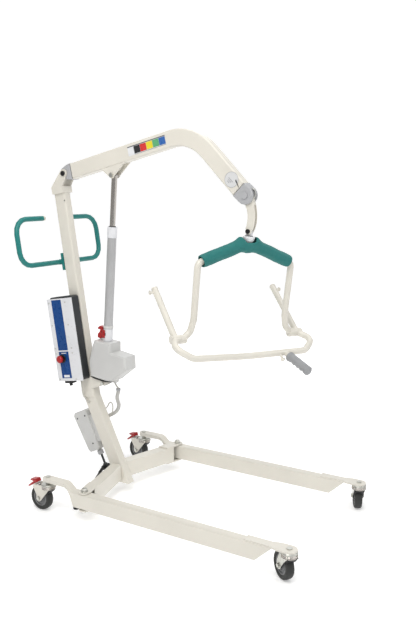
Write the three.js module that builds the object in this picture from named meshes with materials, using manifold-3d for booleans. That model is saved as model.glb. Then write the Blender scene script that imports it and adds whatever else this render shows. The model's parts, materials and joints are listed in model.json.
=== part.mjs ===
// Mobile patient lifting hoist: a wheeled base with two opening legs, a leaning mast,
// a boom raised by an electric actuator, and a hanging four-point cradle.
// Millimetres, +Z up, +X towards the leg tips, +Y to the hoist's left when facing forward.
import * as THREE from 'three';
import { mergeVertices } from 'three/addons/utils/BufferGeometryUtils.js';
import Module from 'manifold-3d';

const wasm = await Module();
wasm.setup();

// ---------------------------------------------------------------- driving dimensions
const GAP = 0.3;                       // clearance between pieces that touch or turn
const TUBE_W = 40;                     // width across Y of the rectangular steel tubes
const TRACK = 318;                     // half distance between the two leg pivots

const LEG = { z0: 55, z1: 115, rear: -50, cutLow: 741, cutHigh: 806, wall: 3, caster: 860 };
const CROSS = { z0: 52, z1: 117, depth: 46, sweep: 15.2, apexX: -110, endY: 272, plate: 5, wall: 3 };
const COLUMN = { lean: 25.5, depth: 62, footX: -54, footZ: 40, kneeZ: 402 };
const MAST = { lean: 8.7, depth: 58, length: 868, socket: 66, radius: 8 };
const BOOM = { depth: 64, rise: 13.2, fall: 45.4, kneeX: 293, kneeZ: 1464, kneeR: 170, endX: 496 };
const BOOM_PIVOT = { x: -320, z: 1320 };
const CASTER = { r: 50, width: 30, trail: 36, deck: 106, plate: 114 };
const REAR_CASTER = { x: -187, armTop: 140 };
const JACK = { low: [-144, 458], high: [-76, 1312], tubeR: 18.5, rodR: 11.5 };
const BOX = { front: 29, back: -109, low: 66, high: 416, near: -72, far: -24 };
const HANGER = { topX: 521, topZ: 1237, boltX: 531, boltZ: 1110 };
const CRADLE = { yaw: -28.3, tilt: 5.9, pivotU: 252, pivotW: -387, tubeR: 12.3 };

const TIE = { x: -44, z: 46, pin: 5 };      // pin under each leg's rear end

const rad = THREE.MathUtils.degToRad;
const V = (x, y, z) => new THREE.Vector3(x, y, z);

// ---------------------------------------------------------------- materials
const finish = (color, roughness, metalness = 0) => () =>
  new THREE.MeshStandardMaterial({ color, roughness, metalness });
const cream = finish(0xe9e4d8, 0.42);
const teal = finish(0x157a6e, 0.5);
const tealFabric = finish(0x17705f, 0.85);
const chrome = finish(0xc8ccd0, 0.18, 1);
const zinc = finish(0xb9bcb8, 0.35, 1);
const tyre = finish(0x3d3f41, 0.8);
const blackPlastic = finish(0x151617, 0.5);
const darkGrey = finish(0x3a3d40, 0.5);
const midGrey = finish(0x9b9ea1, 0.5);
const paleGrey = finish(0xd3d3d0, 0.45);
const tubeGrey = finish(0xa9abad, 0.35, 0.6);
const white = finish(0xe6e7ea, 0.4);
const red = finish(0xc81f24, 0.35);
const gripGrey = finish(0x7f8388, 0.7);
const cableGrey = finish(0xc9c6bd, 0.6);

// ---------------------------------------------------------------- solids and booleans
const toSolid = (geometry) => {
  const g = geometry.clone();
  g.deleteAttribute('normal');
  g.deleteAttribute('uv');
  const m = mergeVertices(g, 1e-3);
  return new wasm.Manifold(new wasm.Mesh({
    numProp: 3,
    vertProperties: new Float32Array(m.attributes.position.array),
    triVerts: new Uint32Array(m.index.array),
  }));
};
const toGeometry = (solid) => {
  const mesh = solid.getMesh();
  const g = new THREE.BufferGeometry();
  g.setAttribute('position', new THREE.BufferAttribute(new Float32Array(mesh.vertProperties), 3));
  g.setIndex(new THREE.BufferAttribute(new Uint32Array(mesh.triVerts), 1));
  g.computeVertexNormals();
  return g;
};
const join = (...parts) => toGeometry(parts.map(toSolid).reduce((a, b) => a.add(b)));
const cut = (body, ...tools) =>
  toGeometry(tools.map(toSolid).reduce((a, b) => a.subtract(b), toSolid(body)));
const common = (a, b) => toGeometry(toSolid(a).intersect(toSolid(b)));

// ---------------------------------------------------------------- basic shapes
const box = (x0, x1, y0, y1, z0, z1) => new THREE.BoxGeometry(x1 - x0, y1 - y0, z1 - z0)
  .translate((x0 + x1) / 2, (y0 + y1) / 2, (z0 + z1) / 2);

// round bar between two points, with its own radius at each end
const bar = (a, b, r, sides = 12, rEnd = r) => {
  const from = V(...a), to = V(...b), axis = to.clone().sub(from);
  const g = new THREE.CylinderGeometry(rEnd, r, axis.length(), sides);
  g.applyQuaternion(new THREE.Quaternion().setFromUnitVectors(V(0, 1, 0), axis.clone().normalize()));
  return g.translate(...from.add(to).multiplyScalar(0.5).toArray());
};
const barY = (x, z, y0, y1, r, sides = 12) => bar([x, y0, z], [x, y1, z], r, sides);
const barZ = (x, y, z0, z1, r, sides = 12) => bar([x, y, z0], [x, y, z1], r, sides);

const outline = (points) => new THREE.Shape(points.map(([x, y]) => new THREE.Vector2(x, y)));
const slab = (shape, depth, bevel, arcs = 4) => {
  const g = new THREE.ExtrudeGeometry(shape, {
    depth: depth - 2 * bevel, bevelEnabled: bevel > 0, bevelThickness: bevel, bevelSize: bevel,
    bevelOffset: -bevel, bevelSegments: 1, curveSegments: arcs,
  });
  return g.translate(0, 0, bevel);
};
// side outline drawn in X and Z, spanning y0 to y1
const sideSlab = (shape, y0, y1, bevel = 0, arcs = 4) =>
  slab(shape, y1 - y0, bevel, arcs).rotateX(Math.PI / 2).translate(0, y1, 0);
// plan outline drawn in X and Y, spanning z0 to z1
const planSlab = (shape, z0, z1, bevel = 0) => slab(shape, z1 - z0, bevel).translate(0, 0, z0);

const roundedRect = (w, h, r) => {
  const s = new THREE.Shape(), x = w / 2, y = h / 2;
  s.moveTo(-x + r, -y).lineTo(x - r, -y).absarc(x - r, -y + r, r, -Math.PI / 2, 0);
  s.lineTo(x, y - r).absarc(x - r, y - r, r, 0, Math.PI / 2);
  s.lineTo(-x + r, y).absarc(-x + r, y - r, r, Math.PI / 2, Math.PI);
  s.lineTo(-x, -y + r).absarc(-x + r, -y + r, r, Math.PI, Math.PI * 1.5);
  return s;
};
const circle = (r) => new THREE.Shape().absarc(0, 0, r, 0, Math.PI * 2);
const lathe = (points, sides = 20) =>
  new THREE.LatheGeometry(points.map(([r, z]) => new THREE.Vector2(r, z)), sides).rotateX(Math.PI / 2);

// ---------------------------------------------------------------- bent tubes
// A bar that runs straight between its corner points and turns each corner on an arc.
class BentPath extends THREE.Curve {
  constructor(corners, radius, arcSteps = 5) {
    super();
    this.rings = [];
    const ring = (p, t) => this.rings.push({ p, t: t.clone().normalize() });
    const pts = corners.map((c) => V(...c));
    const dir = pts.slice(1).map((p, i) => p.clone().sub(pts[i]).normalize());
    ring(pts[0], dir[0]);
    for (let i = 1; i < pts.length - 1; i++) {
      const r = Array.isArray(radius) ? radius[i - 1] : radius;
      const turn = dir[i - 1].angleTo(dir[i]);
      const reach = r * Math.tan(turn / 2);
      const start = pts[i].clone().addScaledVector(dir[i - 1], -reach);
      const inward = dir[i].clone().addScaledVector(dir[i - 1], -Math.cos(turn)).normalize();
      const centre = start.clone().addScaledVector(inward, r);
      for (let k = 0; k <= arcSteps; k++) {
        const a = (turn * k) / arcSteps;
        ring(centre.clone().addScaledVector(inward, -r * Math.cos(a))
          .addScaledVector(dir[i - 1], r * Math.sin(a)),
        dir[i - 1].clone().multiplyScalar(Math.cos(a)).addScaledVector(inward, Math.sin(a)));
      }
    }
    ring(pts[pts.length - 1], dir[dir.length - 1]);
  }
  getPoint(u, target = new THREE.Vector3()) {
    const s = u * (this.rings.length - 1), i = Math.min(Math.floor(s), this.rings.length - 2);
    return target.lerpVectors(this.rings[i].p, this.rings[i + 1].p, s - i);
  }
  getPointAt(u, target) { return this.getPoint(u, target); }
  getTangentAt(u, target = new THREE.Vector3()) {
    return target.copy(this.rings[Math.round(u * (this.rings.length - 1))].t);
  }
}
const tubeAlong = (path, section) => new THREE.ExtrudeGeometry(section, {
  extrudePath: path, steps: path.rings.length - 1, bevelEnabled: false, curveSegments: 1,
});
const polygon = (r, sides) => outline(Array.from({ length: sides }, (_, i) =>
  [r * Math.cos((2 * Math.PI * i) / sides), r * Math.sin((2 * Math.PI * i) / sides)]));
const bentTube = (corners, radius, r, sides = 12, arcSteps = 3) =>
  tubeAlong(new BentPath(corners, radius, arcSteps), polygon(r, sides));

// flexible cable laid on a smooth curve through its route's points
const laid = (route, r, sides = 8, steps = 2 * route.length) => {
  const path = new THREE.CatmullRomCurve3(route.map((p) => V(...p)));
  return new THREE.ExtrudeGeometry(polygon(r, sides), {
    extrudePath: path, steps, bevelEnabled: false, curveSegments: 1,
  });
};

// ---------------------------------------------------------------- the model
const hoist = new THREE.Group();
const add = (parent, name, geometry, material) => {
  const mesh = new THREE.Mesh(geometry, material());
  mesh.name = name;
  parent.add(mesh);
  return mesh;
};
const SIDES = [['near', -1], ['far', 1]];

// frames that lean back with the column and with the mast
const leaning = (x, z, lean) => {
  const g = new THREE.Group();
  g.position.set(x, 0, z);
  g.rotation.y = -rad(lean);
  hoist.add(g);
  g.updateMatrixWorld(true);
  return g;
};
const placed = (geometry, group) => geometry.clone().applyMatrix4(group.matrixWorld);
const columnRun = COLUMN.kneeZ - COLUMN.footZ;
const kneeX = COLUMN.footX - columnRun * Math.tan(rad(COLUMN.lean));
const columnFrame = leaning(COLUMN.footX, COLUMN.footZ, COLUMN.lean);
const mastFrame = leaning(kneeX, COLUMN.kneeZ, MAST.lean);

// ---------------------------------------------------------------- base: crossbar and column
function baseFrame() {
  const { z0, z1, depth, sweep, apexX, endY, plate } = CROSS;
  const s = Math.tan(rad(sweep)), d = depth / Math.cos(rad(sweep));
  const pieces = [];
  for (const [, side] of SIDES) {
    const halfBar = outline([[apexX, 0], [apexX + d, 0], [apexX + d + s * endY, side * endY],
      [apexX + s * endY, side * endY]]);
    const t = CROSS.wall, dt = t / Math.cos(rad(sweep));
    const inside = outline([[apexX + dt, 0], [apexX + d - dt, 0], [apexX + d - dt + s * 300, side * 300],
      [apexX + dt + s * 300, side * 300]]);
    pieces.push(cut(planSlab(halfBar, z0, z1), planSlab(inside, z0 + t, z1 - t)));
    // clevis plates above and below the leg
    const tip = new THREE.Shape();
    const inner = side * 236, x0 = apexX + s * 236;
    tip.moveTo(x0, inner).lineTo(x0 + d, inner).lineTo(22, side * (TRACK - 6));
    tip.absarc(0, side * TRACK, 23, side > 0 ? -0.26 : 0.26, side > 0 ? Math.PI : -Math.PI, side < 0);
    for (const [a, b] of [[z1 - 1, z1 + plate], [z0 - plate, z0 + 1]]) {
      const blank = planSlab(tip, a === z1 - 1 ? z1 : a, a === z1 - 1 ? b : z0);
      pieces.push(cut(blank, barZ(0, side * TRACK, 0, 200, 6.4)));
    }
  }
  const length = columnRun / Math.cos(rad(COLUMN.lean));
  const column = placed(new THREE.ExtrudeGeometry(roundedRect(COLUMN.depth, TUBE_W, 6), {
    depth: length + 60, bevelEnabled: false, curveSegments: 3,
  }).translate(0, 0, -30), columnFrame);
  const shaft = placed(box(-COLUMN.depth / 2 + 3, COLUMN.depth / 2 - 3, -TUBE_W / 2 + 3, TUBE_W / 2 - 3,
    -60, length - 30), columnFrame);
  const trimmed = common(column, box(-600, 200, -60, 60, COLUMN.footZ, COLUMN.kneeZ + 4));
  // socket that the mast stands in, with the two ears that carry the actuator's foot
  const socket = placed(new THREE.ExtrudeGeometry(roundedRect(MAST.depth + 8, TUBE_W + 8, 8), {
    depth: MAST.socket + 14, bevelEnabled: false, curveSegments: 3,
  }).translate(0, 0, -14), mastFrame);
  const bore = placed(box(-MAST.depth / 2 - GAP, MAST.depth / 2 + GAP, -TUBE_W / 2 - GAP,
    TUBE_W / 2 + GAP, 12, 200), mastFrame);
  const ears = [-1, 1].map((side) => {
    const shape = outline([[-214, 424], [-168, 440], [-106, 463], [-100, 468], [-104, 471.5], [-148, 473.5],
      [-214, 479]]);
    return sideSlab(shape, side > 0 ? 19 : -24, side > 0 ? 24 : -19);
  });
  const solid = join(...pieces, trimmed, socket, ...ears);
  return cut(solid, bore, shaft, barY(JACK.low[0], JACK.low[1], -40, 40, 6.3));
}
add(hoist, 'base_frame', baseFrame(), cream);

// ---------------------------------------------------------------- legs
function leg() {
  const { z0, z1, rear, cutLow, cutHigh, wall, caster } = LEG;
  const w = TUBE_W / 2;
  const tube = sideSlab(outline([[rear, z1], [rear + 10, z0], [cutLow, z0], [cutHigh, z1]]), -w, w, 3);
  const hollow = box(rear + 16, 900, -w + wall, w - wall, z0 + wall, z1 - wall);
  // top plate that runs past the slanted end and carries the caster
  const plate = new THREE.Shape();
  plate.moveTo(700, -w + 3).lineTo(790, -w + 3).lineTo(826, -26).lineTo(caster, -27);
  plate.absarc(caster, 0, 27, -Math.PI / 2, Math.PI / 2);
  plate.lineTo(826, 26).lineTo(790, w - 3).lineTo(700, w - 3);
  // cranked channel behind the leg that carries the braked caster
  const top = REAR_CASTER.armTop, a = REAR_CASTER.x;
  const arm = sideSlab(outline([[a - 30, top], [-91, top], [-79, 134], [-55, 114], [-30, 112],
    [-30, z0 + 1], [-45, z0 + 1], [-60, 97], [-73, 118], [-86, 125], [a - 30, 125]]), -18, 18, 0);
  const trough = sideSlab(outline([[a - 40, 100], [a - 40, top - 4], [-93, top - 4], [-82, 130],
    [-62, 112], [-56, 100]]), -14, 14, 0);
  const plan = new THREE.Shape().moveTo(0, -30).lineTo(0, 30).lineTo(a, 20);
  plan.absarc(a, 0, 20, Math.PI / 2, Math.PI * 1.5);
  plan.lineTo(a, -20);
  const channel = common(cut(arm, trough), planSlab(plan, 0, 200));
  const pin = barZ(TIE.x, 0, TIE.z - 6, z0 + 5, TIE.pin);
  const body = join(cut(tube, hollow), planSlab(plate, z1 - 1, z1 + 5), channel, pin);
  return cut(body, barZ(0, 0, 0, 200, 6.4), barZ(caster, 0, 100, 130, 5.4), barZ(a, 0, 130, 150, 5.4));
}
const legShape = leg();
for (const [name, side] of SIDES) {
  add(hoist, `leg_${name}`, legShape, cream).position.y = side * TRACK;
  const top = CROSS.z1 + CROSS.plate, low = CROSS.z0 - CROSS.plate;
  const bolt = join(barZ(0, 0, low - 7, top + 14, 6), barZ(0, 0, low - 7, low - GAP, 10, 6),
    barZ(0, 0, top + GAP, top + 3, 14), barZ(0, 0, top + 3, top + 13, 10.5, 6));
  add(hoist, `leg_pivot_bolt_${name}`, bolt, zinc).position.y = side * TRACK;
}

// ---------------------------------------------------------------- casters
function wheel() {
  const { r, width } = CASTER, w = width / 2;
  return cut(lathe([[0, -12], [10, -12], [12, -8], [30, -8], [36, -w], [46, -w], [r, -w + 6],
    [r, w - 6], [46, w], [36, w], [30, 8], [12, 8], [10, 12], [0, 12]], 22)
    .rotateX(Math.PI / 2), barY(0, 0, -20, 20, 5.4, 12));
}
function fork(braked) {
  const { r, trail, deck } = CASTER;
  const cheek = new THREE.Shape();
  const back = braked ? -62 : -30;
  cheek.moveTo(24, deck).lineTo(22, deck - 8).lineTo(-trail + 12, r - 6);
  cheek.absarc(-trail, r, 13, -0.45, Math.PI + 0.25, true);
  cheek.lineTo(-trail - 12, r + 14).lineTo(back - 4, deck - 12).lineTo(back, deck - (braked ? 2 : 0));
  const y = CASTER.width / 2 + 2;
  const parts = [sideSlab(cheek, -y - 3, -y), sideSlab(cheek, y, y + 3),
    planSlab(roundedRect(52, 2 * y + 6, 9).clone(), deck - 3, deck).translate(-3, 0, 0),
    barZ(0, 0, deck - 0.5, deck + 4, 25, 20), barY(-trail, r, -y - 6, y + 6, 5, 12)];
  if (braked) parts.push(box(-60, -52, -y - 1, y + 1, deck - 6, deck - 2));
  return join(...parts);
}
function swivelHead(topZ, nutZ) {
  const { deck, plate } = CASTER;
  return join(lathe([[0, deck + 4 + GAP], [24, deck + 4 + GAP], [27, deck + 6], [27, plate - GAP],
    [0, plate - GAP]]), barZ(0, 0, plate - 2, topZ - GAP, nutZ > 130 ? 9 : 5),
  barZ(0, 0, topZ - 2, nutZ, 5), barZ(0, 0, nutZ - 3.2, nutZ, 9.5, 16));
}
function brakePedal() {
  const blade = (pts) => sideSlab(outline(pts), -13, 13, 1.2);
  return join(blade([[-50, 112], [-56, 124], [-84, 119], [-88, 113], [-62, 110], [-58, 106]]),
    blade([[-60, 110], [-68, 113], [-101, 88], [-99, 84], [-92, 86], [-64, 104]]));
}
const wheelShape = wheel(), forkShape = fork(false), brakedFork = fork(true), pedalShape = brakePedal();
const frontHead = swivelHead(LEG.z1 + 5, LEG.z1 + 8.5);
const rearHead = swivelHead(REAR_CASTER.armTop - 4, REAR_CASTER.armTop + 3.5);
function caster(name, x, y, heading, braked) {
  const g = new THREE.Group();
  g.position.set(x, y, 0);
  hoist.add(g);
  add(g, `caster_head_${name}`, braked ? rearHead : frontHead, chrome);
  const turning = new THREE.Group();
  turning.rotation.z = rad(heading - 180);
  g.add(turning);
  add(turning, `caster_fork_${name}`, braked ? brakedFork : forkShape, braked ? cream : zinc);
  add(turning, `wheel_${name}`, wheelShape, tyre).position.set(-CASTER.trail, 0, CASTER.r);
  if (braked) add(turning, `brake_pedal_${name}`, pedalShape, red);
}
caster('front_near', LEG.caster, -TRACK, 144, false);
caster('front_far', LEG.caster, TRACK, 117, false);
caster('rear_near', REAR_CASTER.x, -TRACK, 178, true);
caster('rear_far', REAR_CASTER.x, TRACK, 172, true);

// ---------------------------------------------------------------- leg spreading drive
const SPREAD = { line: -72, low: 164, high: 344, head: 87, rod: 5, pin: 3.6, half: 16, tie: 4.5 };
const spreadHead = V(SPREAD.line, 0, SPREAD.head).applyMatrix4(columnFrame.matrixWorld);
{
  const { line, low, high, head, rod, pin } = SPREAD;
  const shell = join(sideSlab(outline([[-112, low + 12], [-104, low], [-58, low], [-50, low + 8],
    [-48, high - 6], [-54, high], [-114, high], [-124, high - 12]]), -25, 25, 3),
  box(-50, -COLUMN.depth / 2 - GAP, -15, 15, low + 30, high - 30), barZ(line, 0, low - 22, low + 4, 11));
  const bore = barZ(line, 0, low - 40, high - 40, rod + GAP, 16);
  add(columnFrame, 'spreader_drive', cut(shell, bore), paleGrey);
  const { x, z } = spreadHead;
  const stem = placed(join(barZ(line, 0, head, high - 84, rod),
    box(line - 8, line + 8, -6, 6, head - 9, head + 12)), columnFrame);
  const pins = [-1, 1].map((s) => barZ(x, s * SPREAD.half, z - 9, z + 6, pin));
  const crosshead = box(x - 9, x + 9, -22, 22, z - 12, z - 7.6);
  add(hoist, 'spreader_rod', join(stem, crosshead, ...pins), darkGrey);
}
for (const [name, side] of SIDES) {
  const inner = [spreadHead.x, side * SPREAD.half, spreadHead.z], outer = [TIE.x, side * TRACK, TIE.z];
  const along = V(...outer).sub(V(...inner)).normalize();
  const at = (from, d) => V(...from).addScaledVector(along, d).toArray();
  const eye = (p, r, h) => barZ(p[0], p[1], p[2] - h, p[2] + h, r);
  const rod = join(bar(at(inner, 7), at(outer, -8), SPREAD.tie, 10), bar(at(inner, 15), at(inner, 50), 6.5, 10),
    eye(inner, 8.7, 3), eye(outer, 12, 4));
  add(hoist, `tie_rod_${name}`, cut(rod, eye(outer, TIE.pin + 0.8, 30), eye(inner, SPREAD.pin + 1.8, 30)),
    blackPlastic);
}

// ---------------------------------------------------------------- mast
const mastTop = MAST.length;
const toMast = (x, z) => {
  const p = V(x, 0, z);
  mastFrame.worldToLocal(p);
  return [p.x, p.z];
};
{
  const tube = new THREE.ExtrudeGeometry(roundedRect(MAST.depth, TUBE_W, MAST.radius), {
    depth: mastTop - 14, bevelEnabled: false, curveSegments: 4,
  }).translate(0, 0, 14);
  const [px, pz] = toMast(BOOM_PIVOT.x, BOOM_PIVOT.z);
  const cheek = new THREE.Shape();
  cheek.moveTo(-MAST.depth / 2, mastTop - 22).lineTo(MAST.depth / 2 + 2, mastTop - 22);
  cheek.lineTo(MAST.depth / 2 + 2, mastTop + 6).lineTo(px + 18, pz - 4);
  cheek.absarc(px, pz, 18, -0.2, Math.PI * 0.78);
  cheek.lineTo(-MAST.depth / 2, mastTop + 8);
  const cheeks = [-1, 1].map((s) => sideSlab(cheek, s > 0 ? 24 : -29, s > 0 ? 29 : -24));
  const saddle = box(-MAST.depth / 2, MAST.depth / 2 + 2, -25, 25, mastTop - 22, mastTop + 4);
  const solid = join(tube, ...cheeks, saddle);
  const shaft = box(-MAST.depth / 2 + 3, MAST.depth / 2 - 3, -TUBE_W / 2 + 3, TUBE_W / 2 - 3, 0, mastTop - 26);
  add(mastFrame, 'mast', cut(solid, shaft, barY(px, pz, -60, 60, 7.3)), cream);
  const pin = join(barY(px, pz, -31, 31, 7), barY(px, pz, -35, -29 - GAP, 10, 24),
    barY(px, pz, 29 + GAP, 35, 10, 24));
  add(mastFrame, 'boom_pivot_bolt', pin, blackPlastic);
}

// ---------------------------------------------------------------- push handle
{
  const x = -MAST.depth / 2 - 19, low = 566, high = 752, out = 241, tip = 86, r = 10.5;
  const side = (s) => [[x, s * tip, high], [x, s * out, high], [x, s * out, low], [x, 0, low]];
  const path = [...side(-1).slice(0, 3), ...side(1).slice(0, 3).reverse()];
  const loop = bentTube(path, [58, 54, 54, 58], r, 12, 4);
  const foot = sideSlab(outline([[x + r - 3, low - 36], [-MAST.depth / 2 - GAP, low - 36],
    [-MAST.depth / 2 - GAP, low + 36], [x + r - 3, low + 36]]), -21, 21, 1);
  const hollow = bentTube(path, [58, 54, 54, 58], r - 2, 8, 3);
  add(mastFrame, 'push_handle', cut(join(loop, foot, barY(x, low, -24, 24, r + 1)), hollow), teal);
  for (const [name, s] of SIDES) {
    add(mastFrame, `handle_plug_${name}`, join(barY(x, high, s * (tip - 9), s * (tip - GAP), r - 0.8, 16),
      barY(x, high, s * (tip - 9), s * (tip - 4), r + 0.2, 16)), cream);
  }
}

// ---------------------------------------------------------------- control box
{
  const { front, back, low, high, near, far } = BOX;
  const shell = sideSlab(outline([[back + 4, low + 3], [front - 4, low + 3], [front, low + 12],
    [front, high + 2], [front - 10, high + 8], [back + 18, high + 6], [back + 4, high - 6]]),
  near + 6, far, 3);
  const bay = box(back + 12, front - 10, near - 5, far - 4, low + 14, high - 12);
  add(mastFrame, 'control_box', cut(shell, bay), darkGrey);
  add(mastFrame, 'battery_pack', join(box(back + 16, front - 14, near + 16, far - 4.5, low + 150, high - 20),
    box(back + 60, front - 40, near + 20, far - 8, low + 140, low + 152)), blackPlastic);
  add(mastFrame, 'circuit_board', join(box(back + 20, front - 18, far - 9, far - 7, low + 18, low + 132),
    box(back + 30, back + 62, near + 28, far - 8, low + 24, low + 70),
    box(back + 80, back + 104, near + 24, far - 8, low + 30, low + 100)), teal);
  const button = [back + 42, low + 96];
  const panel = cut(sideSlab(outline([[back, low], [front, low], [front, high], [back, high]]),
    near, near + 6 - GAP, 1.5), barY(button[0], button[1], near - 5, near + 10, 7.4));
  add(mastFrame, 'control_panel', panel, white);
  add(mastFrame, 'stop_button', join(barY(...button, near - 12, near + 5.5, 7, 20),
    lathe([[0, 10], [11, 10], [15.5, 14], [15.5, 20], [12, 24], [0, 25.5]], 28)
      .rotateX(Math.PI / 2).translate(button[0], near, button[1])), red);
  const plug = join(box(-84, -40, near + 12, far - 12, low - 12, low + 3 - GAP),
    barZ(-62, (near + far) / 2, low - 24, low - 10, 7));
  add(mastFrame, 'box_connector', plug, blackPlastic);
}

// ---------------------------------------------------------------- lifting actuator
const jackLean = Math.atan2(JACK.high[0] - JACK.low[0], JACK.high[1] - JACK.low[1]);
const jackFrame = leaning(JACK.low[0], JACK.low[1], -THREE.MathUtils.radToDeg(jackLean));
const jackLength = Math.hypot(JACK.high[0] - JACK.low[0], JACK.high[1] - JACK.low[1]);
{
  const shell = sideSlab(outline([[-44, 180], [42, 180], [44, 142], [120, 136], [126, 84], [58, 22],
    [24, 18], [-56, 22], [-68, 84], [-54, 150]]), -38, 38, 6);
  const lug = sideSlab(outline([[-16, 22], [-12, -6], [-5, -12], [5, -12], [12, -6], [16, 22]]), -13, 13);
  // cable boss under the motor, open below so that the cable stays clear as the actuator tilts
  const boss = sideSlab(outline([[30, 21], [56, 24], [54, 9], [32, 9]]), -6, 16, 1);
  const cup = barZ(43, 5, 0, 16, 6.2);
  const bore = barZ(0, 0, 60, 260, JACK.rodR + 1.2, 24);
  const pinHole = barY(0, 0, -30, 30, 6.3);
  add(jackFrame, 'actuator_housing', cut(join(shell, lug, boss), bore, cup, pinHole), paleGrey);
  const tube = cut(join(barZ(0, 0, 180 + GAP, 232, 19.5, 24), barZ(0, 0, 232, 608, JACK.tubeR, 24)), bore,
    barZ(0, 0, 200, 700, JACK.rodR + 1.2, 24));
  add(jackFrame, 'actuator_tube', tube, tubeGrey);
  add(jackFrame, 'actuator_wiper', cut(barZ(0, 0, 608 + GAP, 652, 20.5, 28),
    barZ(0, 0, 600, 700, JACK.rodR + GAP, 24)), white);
  const eye = barY(0, jackLength, -9, 9, 13, 20);
  const rod = cut(join(barZ(0, 0, 214, jackLength - 6, JACK.rodR, 24), eye),
    barZ(0, 0, 200, jackLength - 40, 7, 12));
  add(jackFrame, 'lead_screw', barZ(0, 0, 60 + GAP, jackLength - 200, 6, 12), zinc);
  add(jackFrame, 'actuator_rod', cut(rod, barY(0, jackLength, -30, 30, 6.6)), chrome);
  add(jackFrame, 'actuator_foot_pin', join(barY(0, 0, -28, 28, 6), barY(0, 0, -30, -24 - GAP, 9, 6),
    barY(0, 0, 24 + GAP, 30, 9, 6)), zinc);
  // red emergency lowering lever, clipped round the foot of the tube
  const wing = outline([[-48, 188], [-34, 184], [-24, 190], [-22, 204], [-30, 212], [-22, 222], [-24, 236],
    [-38, 238], [-50, 228], [-46, 222], [-36, 224], [-38, 214], [-48, 202]]);
  const ring = cut(barZ(0, 0, 196, 228, 25, 24), barZ(0, 0, 190, 240, 20.2, 24),
    box(0, 40, -40, 40, 180, 240));
  add(jackFrame, 'emergency_lever', join(sideSlab(wing, -10, 10, 2), ring), red);
}

// ---------------------------------------------------------------- cables
const MOTOR_ROUTE = [
  [-100.3, 5, 465.6], [-99.5, 5, 458], [-95, 5.3, 451], [-89, 6, 444], [-86, 7.5, 436],
  [-87.5, 9.3, 427], [-92, 11.5, 414], [-97, 13, 401], [-99, 15, 390], [-98, 18, 378.5],
  [-97, 21.5, 367], [-99, 25, 356], [-104.5, 28.5, 345], [-112, 31.5, 334.5], [-122, 34, 324.5],
  [-134, 36, 315.5], [-147, 36.5, 308], [-159, 35.5, 302], [-170, 32, 297.5], [-180, 27.5, 294.5],
  [-189, 24.5, 292],
];
const DRIVE_ROUTE = [
  [-196, 23.4, 322], [-188, 23.6, 324], [-179, 24, 328], [-170, 24.5, 333.5], [-162, 24.5, 341],
  [-156, 24.5, 350], [-150.5, 24.5, 359], [-143.5, 24.5, 364.5], [-136, 24.5, 362], [-132, 24.5, 354],
  [-131, 24.5, 343], [-132.5, 24.5, 331], [-136, 24.5, 319], [-142, 24.5, 308], [-150.5, 24.5, 298.5],
  [-161, 24.2, 291], [-172, 24, 286], [-183, 23.4, 282.5],
];
const BOX_ROUTE = [
  [-240.5, -48, 468.4], [-239.3, -48, 461], [-238.6, -47.5, 453], [-238.5, -46.5, 445], [-238.8, -45, 437],
  [-239.6, -43, 429], [-240.6, -40.8, 421], [-241.6, -38.6, 413], [-242.2, -36.3, 405.5], [-242, -33.8, 398],
  [-240.8, -31.2, 391], [-238.8, -28.8, 385], [-236, -27, 379.5], [-232.5, -26, 374.5], [-228, -25.3, 370],
  [-222.5, -24.4, 366.5],
];
const CABLE = { motorR: 3.5, sleeveR: 8, sleeveBore: 4.6, driveR: 2.5, boxR: 3 };
add(hoist, 'motor_cable', laid(MOTOR_ROUTE, CABLE.motorR), cableGrey);
add(hoist, 'drive_cable', laid(DRIVE_ROUTE, CABLE.driveR), cableGrey);
add(hoist, 'box_cable', laid(BOX_ROUTE, CABLE.boxR), cableGrey);
const sleeved = MOTOR_ROUTE.slice(4, 18);
add(hoist, 'cable_sleeve',
  cut(laid(sleeved, CABLE.sleeveR, 10), laid(MOTOR_ROUTE, CABLE.sleeveBore)), midGrey);

// ---------------------------------------------------------------- boom
const slope = rad(BOOM.rise), drop = rad(BOOM.fall);
const up = [Math.cos(slope), Math.sin(slope)], down = [Math.cos(drop), -Math.sin(drop)];
function boomOutline(half, startX, endBack = 0) {
  const { kneeX: kx, kneeZ: kz, kneeR } = BOOM;
  const reach = kneeR * Math.tan((slope + drop) / 2);
  const first = -(kx - startX) / up[0], last = (BOOM.endX - kx) / down[0] - endBack;
  const on = (dir, d, side) => [kx + dir[0] * d - dir[1] * side, kz + dir[1] * d + dir[0] * side];
  const [cx, cz] = on(up, -reach, -kneeR);
  const s = new THREE.Shape();
  s.moveTo(...on(up, first, half)).lineTo(...on(up, -reach, half));
  s.absarc(cx, cz, kneeR + half, Math.PI / 2 + slope, Math.PI / 2 - drop, true);
  s.lineTo(...on(down, last, half)).lineTo(...on(down, last, -half)).lineTo(...on(down, reach, -half));
  s.absarc(cx, cz, kneeR - half, Math.PI / 2 - drop, Math.PI / 2 + slope, false);
  s.lineTo(...on(up, first, -half));
  return s;
}
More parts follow.
